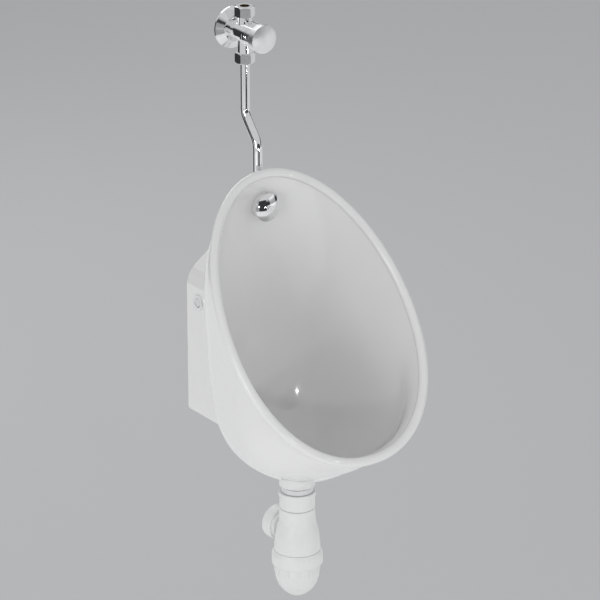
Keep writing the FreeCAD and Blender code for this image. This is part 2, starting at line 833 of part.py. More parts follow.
def valve_body():
    at = valve_stations()
    start = S.plate_thickness + S.skin_gap
    solid = turned("valve_barrel", [
        (0, start), (S.barrel_radius, start), (S.barrel_radius, S.barrel_front),
        (S.barrel_collar_radius, S.barrel_front), (S.barrel_collar_radius, at.bonnet),
        (0, at.bonnet)], turn=TO_FRONT)
    parts = [solid]
    stud = cylinder("stud_hole", S.stud_radius + S.seat_gap, S.stud_length + 1,
                    y=-start + 0.5, turn=TO_FRONT)
    chamber = cylinder("rear_chamber", S.chamber_radius, S.barrel_front - S.chamber_start,
                       y=-S.chamber_start, turn=TO_FRONT)
    bore = cylinder("front_chamber", S.seat_bore_radius, at.bonnet - at.seat + 1,
                    y=-at.seat, turn=TO_FRONT)
    tools = [stud, chamber, bore]
    ends = (("upper", S.inlet_neck, UPRIGHT, -S.valve_depth + at.aside),
            ("lower", S.outlet_neck, FreeCAD.Rotation(V(1, 0, 0), 180), -S.valve_depth - at.aside))
    for side, neck, turn, gallery in ends:
        end = neck + S.thread_length
        sign = 1 if side == "upper" else -1
        parts.append(turned(side + "_end", [
            (0, 0), (S.end_neck_radius, 0), (S.end_neck_radius, neck), (S.thread_radius, neck),
            (S.thread_radius, end), (0, end)], y=-S.valve_depth, turn=turn))
        floor = end - S.pipe_socket_depth
        tools.append(cylinder(side + "_socket", S.pipe_radius + S.running_gap,
                              S.pipe_socket_depth + 1, y=-S.valve_depth, z=sign * floor, turn=turn))
        tools.append(cylinder(side + "_gallery", S.gallery_radius, floor + 1,
                              y=gallery, turn=turn))
    solid = fuse("valve_solid", *parts)
    return place(cut("valve_body", solid, *tools), z=S.valve_height)


def valve_wall_parts():
    """Fixing plate with its threaded stud, and the dished flange that covers it."""
    seat = {"z": S.valve_height, "turn": TO_FRONT}
    plate = turned("plate_turned", [
        (0, 0), (S.plate_radius, 0), (S.plate_radius, S.plate_thickness),
        (S.stud_radius, S.plate_thickness), (S.stud_radius, S.plate_thickness + S.stud_length - 1),
        (0, S.plate_thickness + S.stud_length - 1)])
    holes = [cylinder("plate_hole_%s" % side, S.plate_hole_radius, S.plate_thickness + 2,
                      x=sign * S.plate_hole_spacing / 2, z=-1)
             for side, sign in (("left", -1), ("right", 1))]
    plate = place(cut("valve_plate", plate, *holes), **seat)
    wall = S.flange_wall
    inner = S.barrel_radius + S.seat_gap
    flange = turned("wall_flange", [
        (S.flange_radius - wall, 0), (S.flange_radius, 0), (S.flange_radius, S.flange_rim),
        (S.flange_front_radius, S.flange_front - 2), (S.flange_front_radius, S.flange_front),
        (inner, S.flange_front), (inner, S.flange_front - 3),
        (S.flange_front_radius - wall, S.flange_front - 3),
        (S.flange_radius - wall, S.flange_rim - wall)], **seat)
    return [plate, flange]


def pipe_nut_parts(side, neck, turn):
    """Hexagon nut and the olive that it presses onto a pipe end of the valve."""
    height = S.pipe_nut_height
    wide = S.pipe_nut_flats / 2 * CORNERS_TO_FLATS
    slim = S.pipe_nut_flats / 2
    rim = S.pipe_nut_chamfer
    thread = S.thread_radius + S.running_gap
    hole = S.pipe_radius + S.skin_gap
    deep = S.thread_length + S.skin_gap + S.olive_length
    blank = turned(side + "_nut_blank", [
        (thread, 0), (slim, 0), (wide, rim * 0.6), (wide, height - rim), (slim - 1, height),
        (hole, height), (hole, deep + 0.5), (thread, deep + 0.5)])
    bar = hexagon(side + "_nut_bar", S.pipe_nut_flats, height)
    nut = common(side + "_nut", blank, bar)
    sign = 1 if side == "inlet" else -1
    place(nut, y=-S.valve_depth, z=S.valve_height + sign * neck, turn=turn)
    low = S.thread_length + S.skin_gap
    olive = turned(side + "_olive", [
        (S.pipe_radius + S.seat_gap, low), (S.olive_radius - 1.2, low),
        (S.olive_radius, low + S.olive_length / 2), (S.olive_radius - 1.2, low + S.olive_length),
        (S.pipe_radius + S.seat_gap, low + S.olive_length)],
        y=-S.valve_depth, z=S.valve_height + sign * neck, turn=turn)
    return [nut, olive]


def cartridge_parts():
    """Seat, bonnet, button, spindle with washer, slow return piston and spring."""
    at = valve_stations()
    axis = {"z": S.valve_height, "turn": TO_FRONT}
    gap = S.running_gap
    seat = tube("valve_seat", S.seat_bore_radius - S.seat_gap, S.seat_hole_radius, at.seat,
                at.seat + S.seat_thickness, **axis)
    ribs = []
    for number in range(3):
        place_z = at.front - 4 - number * 4
        ribs += [(S.bonnet_radius, place_z + S.bonnet_groove / 2),
                 (S.bonnet_radius - S.bonnet_groove, place_z),
                 (S.bonnet_radius, place_z - S.bonnet_groove / 2)]
    inner_front = at.front - S.bonnet_wall
    spring_well = S.spring_radius + S.spring_wire
    bonnet = turned("valve_bonnet", [
        (S.spindle_radius + gap, inner_front), (S.spindle_radius + gap, at.front - 3),
        (spring_well, at.front - 3), (spring_well, at.front), (S.bonnet_radius - 1, at.front),
        (S.bonnet_radius, at.front - 1)] + ribs + [
        (S.bonnet_radius, at.bonnet), (S.seat_bore_radius - gap, at.bonnet),
        (S.seat_bore_radius - gap, at.bonnet - 6), (S.dashpot_radius, at.bonnet - 6),
        (S.dashpot_radius, inner_front)], **axis)
    foot = at.seat - S.washer_thickness - S.spindle_foot - S.seat_gap
    tip = at.face - S.button_wall - 0.5
    spindle = turned("spindle", [
        (0, foot), (S.spindle_foot_radius, foot), (S.spindle_foot_radius, foot + S.spindle_foot),
        (S.spindle_radius, foot + S.spindle_foot), (S.spindle_radius, tip), (0, tip)], **axis)
    washer = tube("poppet_washer", S.spindle_foot_radius, S.spindle_radius + S.seat_gap,
                  foot + S.spindle_foot, foot + S.spindle_foot + S.washer_thickness, **axis)
    piston = tube("timing_piston", S.piston_radius, S.spindle_radius + S.seat_gap, at.piston,
                  at.piston + S.piston_length, **axis)
    seal = tube("piston_seal", S.dashpot_radius - gap, S.spindle_radius + S.seat_gap,
                at.piston + S.piston_length, at.piston + S.piston_length + S.piston_seal_length,
                **axis)
    inside = S.button_radius - S.button_wall
    dome = (S.button_radius * S.button_radius / S.button_dome + S.button_dome) / 2
    hub = S.spindle_radius + S.seat_gap
    back = at.face - S.button_wall
    button = turned("push_button", [
        (0, back), (hub, back), (hub, back - 5), (S.button_hub_radius, back - 5),
        (S.button_hub_radius, back), (inside, back), (inside, at.skirt),
        (S.button_radius, at.skirt), (S.button_radius, at.face, dome),
        (0, at.face + S.button_dome)], **axis)
    start = at.front - 3 + S.spring_wire
    end = back - S.spring_wire
    spring = return_spring(start, end)
    return [seat, bonnet, spindle, washer, piston, seal, button, spring]


def return_spring(start, end):
    """Open coil between the well of the bonnet and the inside of the button."""
    length = (end - start).value
    radius = S.spring_radius.value
    wire = S.spring_wire.value
    turns = S.spring_turns.value
    steps = int(turns * 12)
    points = []
    for number in range(steps + 1):
        angle = 2 * math.pi * turns * number / steps
        points.append(V(radius * math.cos(angle), radius * math.sin(angle),
                        length * number / steps))
    spine = Part.makePolygon(points)
    corners = [V(radius + wire * math.cos(math.pi * number / 3), 0,
                 wire * math.sin(math.pi * number / 3)) for number in range(7)]
    shell = Part.BRepOffsetAPI.MakePipeShell(spine)
    shell.setTransitionMode(1)
    shell.setFrenetMode(False)
    shell.add(Part.makePolygon(corners), False, True)
    shell.build()
    shell.makeSolid()
    item = form("return_spring", shell.shape())
    item.Placement = FreeCAD.Placement(V(0, -start.value, S.valve_height.value), TO_FRONT)
    return item


# ---------------------------------------------------------------- waste fitting
def waste_parts():
    """Flanged tail, dome grate with its screw, rubber seals and back nut."""
    seat = {"y": -S.outlet_depth, "z": S.waste_seat_height}
    seal = S.outlet_washer
    top = seal + S.waste_flange
    bore = S.tail_radius - S.tail_wall
    tail = turned("waste_tail", [
        (bore, top), (bore, top - S.tail_length), (S.tail_radius, top - S.tail_length),
        (S.tail_radius, seal), (S.waste_flange_radius, seal), (S.waste_flange_radius, top)])
    bar = box("waste_bar", bore * 2 + 1, 6, 6, x=-bore - 0.5, y=-3, z=top - 10)
    hub = cylinder("waste_hub", 6, 6, z=top - 10)
    hole = cylinder("waste_screw_hole", S.waste_screw_radius + S.seat_gap, 60, z=-30)
    body = place(cut("waste_body", fuse("waste_solid", tail, bar, hub), hole), **seat)
    edge = bore - 0.5
    bend = (edge * edge / S.grate_rise + S.grate_rise) / 2
    inner = S.waste_screw_radius + S.seat_gap
    dome = turned("grate_dome", [
        (inner, top + S.grate_rise - S.grate_wall - 1), (S.grate_ring_radius / 2, top + 1),
        (edge - 2, top - S.grate_wall), (edge - 2, top - 4), (edge, top - 4),
        (edge, top, bend), (inner, top + S.grate_rise)])
    slots = ring_of("grate_slot", int(S.grate_holes.value),
                    lambda name: cylinder(name, S.grate_slot_radius, 30), x=S.grate_ring_radius)
    grate = place(cut("waste_grate", dome, *slots), **seat)
    head = turned("grate_screw", [
        (0, top - 14), (S.waste_screw_radius, top - 14),
        (S.waste_screw_radius, top + S.grate_rise + S.seat_gap),
        (S.waste_screw_radius * 2, top + S.grate_rise + S.seat_gap),
        (S.waste_screw_radius, top + S.grate_rise + 1.6), (0, top + S.grate_rise + 1.6)], **seat)
    inside = S.tail_radius + S.seat_gap
    rubber = tube("waste_seal", S.waste_flange_radius - 0.5, inside, 0, seal, **seat)
    below = {"y": -S.outlet_depth, "z": S.outlet_height}
    washer = tube("waste_washer", S.back_nut_radius - 0.5, inside, -seal, 0, **below)
    nut_top = -seal
    nut = tube("back_nut_ring", S.back_nut_radius - 0.6, inside, nut_top - S.back_nut_height,
               nut_top)
    deep = S.back_nut_rib_depth
    ribs = ring_of("back_nut_rib", int(S.back_nut_ribs.value),
                   lambda name: box(name, deep, S.back_nut_rib, S.back_nut_height - 1),
                   x=S.back_nut_radius - deep, y=-S.back_nut_rib / 2,
                   z=nut_top - S.back_nut_height + 0.5)
    nut = place(fuse("waste_backnut", nut, *ribs), **below)
    return [body, grate, head, rubber, washer, nut]


# ---------------------------------------------------------------- bottle trap
def trap_stations():
    """Heights, below the top of the inlet nut, that the trap's pieces share."""
    tail_end = (S.waste_seat_height + S.outlet_washer + S.waste_flange - S.tail_length
                - S.trap_nut_top)
    flange = tail_end - S.trap_washer
    ledge = flange - S.dip_flange
    seam = -S.trap_nut_height
    nut = seam - S.trap_seam
    neck = nut - S.nut_shoulder - S.body_seal
    shoulder = nut - S.body_nut_height
    bottle = S.bottle_bottom - S.trap_nut_top
    lip = bottle - S.cup_lip_gap
    thread_end = bottle - S.cup_thread_length
    return SimpleNamespace(tail_end=tail_end, flange=flange, ledge=ledge, seam=seam, nut=nut,
                           neck=neck, shoulder=shoulder, bottle=bottle, lip=lip,
                           thread_end=thread_end)


def trap_inlet_parts():
    """Nut on the waste's tail, its washer and the dip tube."""
    at = trap_stations()
    axis = {"y": -S.outlet_depth, "z": S.trap_nut_top}
    bead = S.trap_nut_radius + S.trap_nut_bead
    bead_end = -S.trap_nut_bead_height
    thread = S.tail_radius + S.running_gap
    hole = S.dip_radius + S.seat_gap + 0.3
    nut = turned("trap_inlet_nut", [
        (thread, 0), (bead - 1, 0), (bead, -1), (bead, bead_end), (S.trap_nut_radius, bead_end - 1),
        (S.trap_nut_radius, at.seam + 0.6), (S.trap_nut_radius - 0.6, at.seam), (hole, at.seam),
        (hole, at.ledge), (thread, at.ledge)], **axis)
    washer = tube("trap_inlet_seal", S.tail_radius - S.seat_gap, S.dip_radius - S.dip_wall,
                  at.flange, at.tail_end, **axis)
    inner = S.dip_radius - S.dip_wall
    tip = S.dip_end - S.trap_nut_top
    dip = turned("dip_tube", [
        (inner, tip), (S.dip_radius, tip), (S.dip_radius, at.ledge),
        (S.tail_radius - S.seat_gap, at.ledge), (S.tail_radius - S.seat_gap, at.flange),
        (inner, at.flange)], **axis)
    return [nut, washer, dip]


def trap_body_parts():
    """Clamping nut, seal, bottle with its side outlet, and the nut and seal of that outlet."""
    at = trap_stations()
    axis = {"y": -S.outlet_depth, "z": S.trap_nut_top}
    slip = S.dip_radius + S.seat_gap
    thread = S.body_thread_radius + S.running_gap
    nut = turned("trap_body_nut", [
        (thread, at.shoulder), (S.body_nut_foot_radius, at.shoulder),
        (S.trap_nut_radius, at.nut - 1), (S.trap_nut_radius - 1, at.nut), (slip + 0.3, at.nut),
        (slip + 0.3, at.nut - S.nut_shoulder), (thread, at.nut - S.nut_shoulder)], **axis)
    seal = tube("trap_body_seal", S.body_thread_radius - S.seat_gap, slip, at.neck,
                at.neck + S.body_seal, **axis)
    wall = S.trap_wall
    foot = S.body_nut_foot_radius
    outside = turned("bottle_outside", [
        (0, at.thread_end), (S.cup_thread_radius, at.thread_end), (S.cup_thread_radius, at.bottle),
        (S.bottle_radius, at.bottle, S.bottle_swell_radius), (foot, at.shoulder),
        (S.body_thread_radius, at.shoulder), (S.body_thread_radius, at.neck), (0, at.neck)])
    inside = turned("bottle_inside", [
        (0, at.thread_end - 1), (S.cup_thread_radius - wall, at.thread_end - 1),
        (S.cup_thread_radius - wall, at.bottle),
        (S.bottle_radius - wall, at.bottle + wall, S.bottle_swell_radius),
        (foot - wall, at.shoulder - wall), (S.body_thread_radius - wall, at.shoulder),
        (S.body_thread_radius - wall, at.neck + 1), (0, at.neck + 1)])
    height = S.outlet_pipe_height - S.trap_nut_top
    outer_end = S.waste_branch_reach
    thread_end = outer_end - 4 - S.waste_seal_length
    stem = cylinder("branch_stem", S.waste_passage_radius + wall, thread_end, z=height,
                    turn=TO_WALL)
    shoulder = foot + 1
    branch = cylinder("branch_thread", S.waste_thread_radius, thread_end - shoulder, y=shoulder,
                      z=height, turn=TO_WALL)
    solid = fuse("bottle_solid", outside, stem, branch)
    socket = cylinder("branch_socket", S.waste_socket_radius, S.waste_socket_depth + 1,
                      y=thread_end - S.waste_socket_depth, z=height, turn=TO_WALL)
    passage = cylinder("branch_passage", S.waste_passage_radius, thread_end, z=height, turn=TO_WALL)
    body = place(cut("trap_body", solid, inside, socket, passage), **axis)
    mouth = {"y": -S.outlet_depth, "z": S.outlet_pipe_height, "turn": TO_WALL}
    inner_end = outer_end - S.waste_nut_length
    bore = S.waste_thread_radius + S.running_gap
    ring = S.waste_nut_radius
    outlet_nut = turned("trap_outlet_nut", [
        (bore, inner_end), (ring - 1, inner_end), (ring, inner_end + 1), (ring, outer_end - 2),
        (ring - 2, outer_end), (S.waste_socket_radius + 0.3, outer_end),
        (S.waste_socket_radius + 0.3, outer_end - 4), (bore, outer_end - 4)], **mouth)
    outlet_seal = tube("trap_outlet_seal", S.waste_thread_radius - S.seat_gap,
                       S.waste_socket_radius, thread_end, outer_end - 4, **mouth)
    return [nut, seal, body, outlet_nut, outlet_seal]


def trap_cup_parts():
    """Screwed cup with a gripping collar, ribs and a rounded bottom, and its flat seal."""
    at = trap_stations()
    axis = {"y": -S.outlet_depth, "z": S.trap_nut_top}
    thread = S.cup_thread_radius + S.running_gap
    ledge = at.thread_end - S.cup_seal
    collar = S.cup_collar_radius
    collar_end = at.lip - S.cup_collar_height
    slope = S.bottle_radius + 0.5
    side = S.cup_neck_radius
    nose = S.cup_nose_radius
    wall = S.cup_wall
    start = collar_end - S.cup_rib_length
    centre = S.cup_bottom - S.trap_nut_top + nose
    drop = start - centre
    flank = (side * side + drop * drop - nose * nose) / (2 * (side - nose))
    share = nose / (flank - nose)
    meet = ((flank - side) * share, centre - drop * share)
    thin = (nose - wall) / nose
    meet_inside = (meet[0] * thin, centre - drop * share * thin)
    shell = turned("cup_shell", [
        (thread, at.lip), (slope, at.lip), (collar, at.lip - S.cup_collar_chamfer),
        (collar, collar_end + 1), (collar - 1, collar_end), (side, collar_end),
        (side, start, -flank), meet + (-nose,), (0, centre - nose), (0, centre - nose + wall,
        nose - wall), meet_inside + (flank - wall,), (side - wall, start),
        (side - wall, ledge - 3), (S.cup_ledge_radius, ledge - 3), (S.cup_ledge_radius, ledge),
        (thread, ledge)])
    ribs = ring_of("cup_rib", int(S.cup_ribs.value),
                   lambda name: box(name, S.cup_rib_depth, S.cup_rib_width, S.cup_rib_length),
                   x=side - S.cup_rib_sink, y=-S.cup_rib_width / 2, z=start)
    cup = place(fuse("trap_cup", shell, *ribs), **axis)
    seal = tube("cup_seal", S.cup_thread_radius, S.cup_ledge_radius, ledge, at.thread_end, **axis)
    return [cup, seal]


# ---------------------------------------------------------------- wall brackets
def both_sides(name, item):
    """The same fastener on both sides of the block, as one group."""
    other = doc.addObject("Part::Mirroring", name + "_left")
    other.Source = item
    other.Normal = V(1, 0, 0)
    return group(name, item, other)


def bracket_parts():
    """Angle brackets inside the block, their weld nuts, and the side screws with washers."""
    thick = S.bracket_thickness
    inner = S.block_half_width - S.block_wall - S.seat_gap
    tall = S.bracket_half_height
    side = box("bracket_side", thick, S.bracket_length, 2 * tall, x=inner - thick,
               y=-S.bracket_length, z=-tall)
    reach = inner - S.screw_spacing / 2 + 11
    leg = box("bracket_leg", reach, thick, 2 * tall, x=inner - reach, y=-thick, z=-tall)
    screw_hole = cylinder("bracket_wall_hole", S.screw_hole_radius, thick + 2,
                          x=S.screw_spacing / 2, y=-thick - 1, turn=TO_WALL)
    outward = {"x": 0, "y": -S.side_screw_depth, "turn": TO_RIGHT}
    side_hole = cylinder("bracket_side_hole", S.side_screw_radius + S.seat_gap, 40,
                         x=inner - 20, y=-S.side_screw_depth, turn=TO_RIGHT)
    bracket = cut("bracket_right", fuse("bracket_solid", side, leg), screw_hole, side_hole)
    nut_end = inner - thick
    nut = tube("weld_nut_right", S.weld_nut_radius, S.side_screw_radius + S.seat_gap,
               nut_end - S.weld_nut_length, nut_end, **outward)
    face = S.block_half_width + S.side_ring_height
    well = face - 1.4
    washer = turned("side_washer_right", [
        (S.side_screw_radius + S.seat_gap, S.block_half_width - S.block_wall + 1),
        (S.side_hole_radius - S.seat_gap, S.block_half_width - S.block_wall + 1),
        (S.side_hole_radius - S.seat_gap, S.block_half_width),
        (S.side_ring_radius, S.block_half_width), (S.side_ring_radius - 0.8, face),
        (S.side_ring_hole, face), (S.side_ring_hole, well), (S.side_screw_radius + S.seat_gap, well)],
        **outward)
    screw = turned("side_screw_right", [
        (0, well - S.side_screw_length), (S.side_screw_radius, well - S.side_screw_length),
        (S.side_screw_radius, well), (S.side_head_radius, well),
        (S.side_head_radius - 1, well + S.side_head_height), (0, well + S.side_head_height)],
        **outward)
    return [both_sides("wall_brackets", bracket), both_sides("weld_nuts", nut),
            both_sides("side_washers", washer), both_sides("side_screws", screw)]


# ---------------------------------------------------------------- the whole object
def all_nodes():
    nodes = [ceramic_bowl()]
    nodes += spreader_parts()
    nodes += [flush_pipe(), inlet_grommet(), valve_body()]
    nodes += valve_wall_parts()
    nodes += pipe_nut_parts("inlet", S.inlet_neck, UPRIGHT)
    nodes += pipe_nut_parts("outlet", S.outlet_neck, FreeCAD.Rotation(V(1, 0, 0), 180))
    nodes += cartridge_parts()
    nodes += waste_parts()
    nodes += trap_inlet_parts()
    nodes += trap_body_parts()
    nodes += trap_cup_parts()
    nodes += bracket_parts()
    return nodes


def verify(nodes):
    """Stops before anything is written when an object or a shape has failed."""
    for item in doc.Objects:
        if "Invalid" in item.State or "Error" in item.State:
            raise RuntimeError("%s failed: %s" % (item.Name, item.State))
    for node in nodes:
        if node.Shape.isNull() or not node.Shape.isValid():
            raise RuntimeError("%s has no valid shape" % node.Label)


def main():
    nodes = all_nodes()
    doc.recompute()
    verify(nodes)
    os.makedirs("parts", exist_ok=True)
    for node in nodes:
        node.Shape.exportStep(os.path.join("parts", node.Label + ".step"))


main()
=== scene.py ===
"""Looks of a wall hung urinal: glazed bowl, exposed push valve with its flush pipe, and white bottle trap."""
import json
import math

import bmesh
import bpy
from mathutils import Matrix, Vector


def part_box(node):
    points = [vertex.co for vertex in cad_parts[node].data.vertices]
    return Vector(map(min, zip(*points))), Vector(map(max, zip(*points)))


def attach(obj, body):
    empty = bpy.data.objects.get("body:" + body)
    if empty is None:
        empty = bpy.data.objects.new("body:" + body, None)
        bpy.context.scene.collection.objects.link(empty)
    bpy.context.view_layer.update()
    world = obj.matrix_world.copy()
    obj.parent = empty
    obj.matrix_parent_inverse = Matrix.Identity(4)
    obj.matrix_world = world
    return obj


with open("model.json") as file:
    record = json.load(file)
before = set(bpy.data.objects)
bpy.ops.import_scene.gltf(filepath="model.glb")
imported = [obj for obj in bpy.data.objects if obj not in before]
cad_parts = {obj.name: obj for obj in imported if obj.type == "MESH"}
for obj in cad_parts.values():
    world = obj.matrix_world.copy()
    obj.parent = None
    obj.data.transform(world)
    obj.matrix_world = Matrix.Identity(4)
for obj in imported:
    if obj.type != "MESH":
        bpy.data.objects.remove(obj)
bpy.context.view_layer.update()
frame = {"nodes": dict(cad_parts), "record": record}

NODES = frame["nodes"]
SATIN_NODES = ("push_button", "side_screws")
FIXED = "fixed_parts"

# ------------------------------------------------------------------ camera, taken from the photograph
AZIMUTH = math.radians(35.4835)       # how far the view is turned to the object's left
ELEVATION = math.radians(21.5271)     # how far the view looks down
CAMERA_DISTANCE = 5.181
CAMERA_CENTRE = Vector((0, -0.230, 0.018))
CAMERA_RIGHT = -0.02685               # shift of the view along its own right and up axes
CAMERA_UP = 0.02456
CAMERA_REACH = 100
LENS_MM = 198
SENSOR_MM = 36

# ------------------------------------------------------------------ colours, linear
GLAZE = (0.790, 0.785, 0.782)
GLAZE_SHADE = (0.768, 0.763, 0.760)
BISCUIT = (0.62, 0.56, 0.47)
CHROME = (0.90, 0.905, 0.91)
CHROME_SHADE = (0.84, 0.845, 0.85)
BRASS = (0.62, 0.45, 0.20)
BRASS_SHADE = (0.50, 0.34, 0.13)
STEEL = (0.52, 0.52, 0.53)
STEEL_SHADE = (0.40, 0.40, 0.41)
PLASTIC = (0.80, 0.80, 0.795)
PLASTIC_SHADE = (0.76, 0.76, 0.757)
WASTE_PLASTIC = (0.74, 0.75, 0.75)
WASTE_PLASTIC_SHADE = (0.70, 0.71, 0.71)
RUBBER = (0.035, 0.035, 0.037)
RUBBER_SHADE = (0.020, 0.020, 0.021)
FLOOR = (0.60, 0.60, 0.61)
FLOOR_BOUNCE = (0.95, 0.95, 0.95)     # what the floor sends to the object
SURROUND = (0.92, 0.93, 0.94)
HORIZON_DARK = (0.03, 0.03, 0.035)
CARD_DARK = (0.05, 0.05, 0.053)
CARD_GREY = (0.46, 0.46, 0.47)

# ------------------------------------------------------------------ surfaces
GLAZE_IOR = 1.52
PLASTIC_IOR = 1.47
CLAY_START = -0.0020                  # along Y: the glaze thins out from here to the wall's side
CLAY_FULL = -0.0010
CLAY_RAGGED = 0.002
CLAY_ROUGHNESS = 0.7                  # added to the glaze's own
MIX_FIRST = 6                         # a Mix node's colour inputs
MIX_SECOND = 7

# ------------------------------------------------------------------ thread of the waste's tail
TAIL_THREAD_PITCH = 0.0023
TAIL_THREAD_DEPTH = 0.0007
TAIL_THREAD_HIDDEN = 0.004            # how far it goes on inside the trap's nut
TAIL_THREAD_GAP = 0.0012              # left under the back nut
THREAD_STEPS = 72                     # for each turn
THREAD_ROOT = 0.45                    # half the ridge's foot, in pitches
THREAD_CREST = 0.25                   # the crest's width, of the foot's
THREAD_SINK = 0.2                     # how deep the foot is sunk, in thread depths
THREAD_RUN_OUT = 0.25                 # turns over which either end fades

# ------------------------------------------------------------------ stage
FLOOR_HEIGHT = -0.85
FLOOR_SIZE = 30
SURROUND_STRENGTH = 0.68
HORIZON_LOW = 0.10                    # sines of the angles between which the dark horizon ends
HORIZON_HIGH = 0.34
STAGE_ROUGHNESS = 0.9
BOWL_CENTRE = Vector((0, -0.2, 0))
CARD_FOOT = FLOOR_HEIGHT + 0.01
LAMPS = (
    # name, place, side of the square, watts
    ("key", (-3.2, -1.4, 0.5), 1.4, 22),
    ("fill", (2.6, -2.6, 0.4), 2.0, 5),
    ("back", (0.4, 2.8, 1.8), 2.0, 16),
    ("spark", (-0.64, -1.94, 0.0), 0.08, 2.2),
    ("second_spark", (0.29, -2.0, -0.2), 0.06, 1.4),
)
CARDS = (
    # name, colour, degrees to the camera's right, distance, width, foot, top
    ("card_front", CARD_GREY, 11, 2.2, 0.40, CARD_FOOT, 0.9),
    ("card_right", CARD_DARK, 34, 2.2, 1.3, CARD_FOOT, 0.9),
    ("card_left", CARD_DARK, -116, 1.0, 1.2, -0.2, 0.6),
)


# ------------------------------------------------------------------ materials
def mixed(tree, factor, first, second):
    """The colour between two others, each a tuple or a socket."""
    node = tree.nodes.new("ShaderNodeMix")
    node.data_type = "RGBA"
    tree.links.new(factor, node.inputs["Factor"])
    for socket, colour in ((node.inputs[MIX_FIRST], first), (node.inputs[MIX_SECOND], second)):
        if isinstance(colour, tuple):
            socket.default_value = colour + (1,)
        else:
            tree.links.new(colour, socket)
    return node.outputs[2]


class Shader:
    """A node material around one Principled shader."""

    def __init__(self, name):
        self.material = bpy.data.materials.new(name)
        self.material.use_nodes = True
        self.tree = self.material.node_tree
        self.principled = self.tree.nodes["Principled BSDF"]
        self.place = self.add("ShaderNodeTexCoord").outputs["Object"]

    def add(self, kind, **settings):
        node = self.tree.nodes.new(kind)
        for key, value in settings.items():
            setattr(node, key, value)
        return node

    def link(self, source, target):
        self.tree.links.new(source, target)

    def drive(self, name, source):
        """Links a value or colour to one of the shader's own sockets."""
        self.link(source, self.principled.inputs[name])

    def fixed(self, **values):
        """Sets the shader's own sockets to constants."""
        for name, value in values.items():
            self.principled.inputs[name.replace("_", " ")].default_value = value

    def stretched(self, along):
        """The object's own coordinates, scaled along each axis."""
        mapping = self.add("ShaderNodeMapping")
        mapping.inputs["Scale"].default_value = along
        self.link(self.place, mapping.inputs["Vector"])
        return mapping.outputs["Vector"]

    def noise(self, scale, detail=4.0, roughness=0.5, place=None):
        node = self.add("ShaderNodeTexNoise")
        node.inputs["Scale"].default_value = scale
        node.inputs["Detail"].default_value = detail
        node.inputs["Roughness"].default_value = roughness
        self.link(place or self.place, node.inputs["Vector"])
        return node.outputs["Fac"]

    def spread(self, value, low, high, from_low=0.3, from_high=0.7):
        """Maps a value's range, by default the one that noise mostly fills, to low and high."""
        node = self.add("ShaderNodeMapRange")
        node.inputs["From Min"].default_value = from_low
        node.inputs["From Max"].default_value = from_high
        node.inputs["To Min"].default_value = low
        node.inputs["To Max"].default_value = high
        self.link(value, node.inputs["Value"])
        return node.outputs["Result"]

    def scaled_sum(self, value, factor, addend, clamp=False):
        """A value times a constant, plus another value."""
        node = self.add("ShaderNodeMath", operation="MULTIPLY_ADD", use_clamp=clamp)
        node.inputs[1].default_value = factor
        self.link(value, node.inputs[0])
        self.link(addend, node.inputs[2])
        return node.outputs["Value"]

    def blend(self, factor, first, second):
        return mixed(self.tree, factor, first, second)

    def bump(self, height, strength, distance):
        node = self.add("ShaderNodeBump")
        node.inputs["Strength"].default_value = strength
        node.inputs["Distance"].default_value = distance
        self.link(height, node.inputs["Height"])
        self.drive("Normal", node.outputs["Normal"])


def glazed_ceramic():
    """White glaze with a faint orange peel, left off the clay that meets the wall."""
    shader = Shader("glazed_ceramic")
    shader.fixed(IOR=GLAZE_IOR, Coat_Weight=0.6, Coat_Roughness=0.03)
    cloud = shader.spread(shader.noise(scale=6, detail=3), 0, 1)
    glaze = shader.blend(cloud, GLAZE, GLAZE_SHADE)
    split = shader.add("ShaderNodeSeparateXYZ")
    shader.link(shader.place, split.inputs["Vector"])
    ragged = shader.scaled_sum(shader.noise(scale=180, detail=3), CLAY_RAGGED, split.outputs["Y"])
    clay = shader.spread(ragged, 0, 1, CLAY_START, CLAY_FULL)
    shader.drive("Base Color", shader.blend(clay, glaze, BISCUIT))
    gloss = shader.spread(shader.noise(scale=22, detail=4), 0.10, 0.16)
    shader.drive("Roughness", shader.scaled_sum(clay, CLAY_ROUGHNESS, gloss, clamp=True))
    shader.bump(shader.noise(scale=90, detail=2, roughness=0.4), strength=0.06, distance=0.0006)
    return shader.material


def plated(name, light, shade, rough_low, rough_high):
    """Plated metal with faint wiping marks."""
    shader = Shader(name)
    shader.fixed(Metallic=1.0)
    upright = shader.stretched((1, 1, 0.25))
    marks = shader.noise(scale=160, detail=5, roughness=0.6, place=upright)
    shader.drive("Base Color", shader.blend(shader.spread(marks, 0, 1), light, shade))
    gloss = shader.noise(scale=35, detail=5, roughness=0.65)
    shader.drive("Roughness", shader.spread(gloss, rough_low, rough_high))
    shader.bump(shader.noise(scale=420, detail=2), strength=0.03, distance=0.0002)
    return shader.material


def turned_metal(name, light, shade, rough_low, rough_high):
    """Machined metal with fine tool lines along X."""
    shader = Shader(name)
    shader.fixed(Metallic=1.0)
    sideways = shader.stretched((0.15, 1, 1))
    lines = shader.noise(scale=500, detail=3, roughness=0.7, place=sideways)
    shader.drive("Base Color", shader.blend(shader.spread(lines, 0, 1), light, shade))
    shader.drive("Roughness", shader.spread(lines, rough_low, rough_high))
    shader.bump(lines, strength=0.12, distance=0.0003)
    return shader.material


def moulded(name, light, shade, rough_low, rough_high, grain, grain_strength):
    """Moulded plastic or rubber: soft gloss changes and a fine skin."""
    shader = Shader(name)
    shader.fixed(IOR=PLASTIC_IOR)
    cloud = shader.spread(shader.noise(scale=14, detail=4), 0, 1)
    shader.drive("Base Color", shader.blend(cloud, light, shade))
    gloss = shader.noise(scale=48, detail=5, roughness=0.6)
    shader.drive("Roughness", shader.spread(gloss, rough_low, rough_high))
    shader.bump(shader.noise(scale=grain, detail=3), strength=grain_strength, distance=0.0003)
    return shader.material


